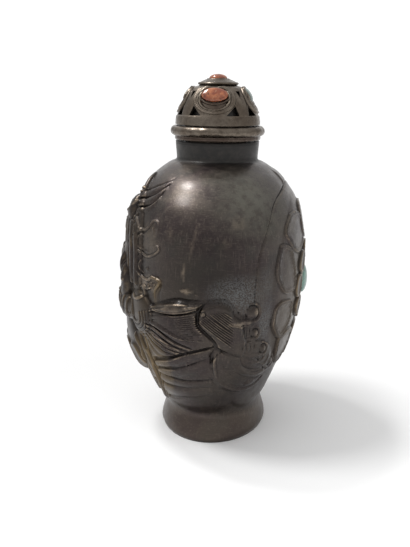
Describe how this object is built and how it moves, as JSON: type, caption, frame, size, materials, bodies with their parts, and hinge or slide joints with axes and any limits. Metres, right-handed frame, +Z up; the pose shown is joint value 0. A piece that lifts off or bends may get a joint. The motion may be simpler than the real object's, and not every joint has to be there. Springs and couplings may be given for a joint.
{
  "type": "snuff bottle",
  "caption": "Flattened oval metal snuff bottle in relief, with a scarf, robe and flower, a beaded neck ring and a pierced domed stopper set with coral and turquoise.",
  "frame": {"origin": "middle of the flat underside of the foot", "axes": "+Z up through the neck and stopper; a narrow side of the oval body faces -Y, the broad face with the flower faces +X and the broad face with the seated figure faces -X"},
  "size_m": [0.0432, 0.0524, 0.08],
  "materials": {
    "dark_silvered_metal": "dark patinated silver over a copper alloy, satin, worn brighter on the high relief",
    "pale_silvered_metal": "worn silver with a warm tint, satin",
    "coral": "polished orange-red cabochon",
    "turquoise": "polished grey-green cabochon"
  },
  "bodies": {
    "root": {"bottle": "dark_silvered_metal", "neck_ring": "pale_silvered_metal", "stopper": "pale_silvered_metal", "flower_turquoise": "turquoise", "top_coral": "coral", "front_coral": "coral", "back_coral": "coral", "right_turquoise": "turquoise", "left_turquoise": "turquoise"}
  },
  "joints": []
}
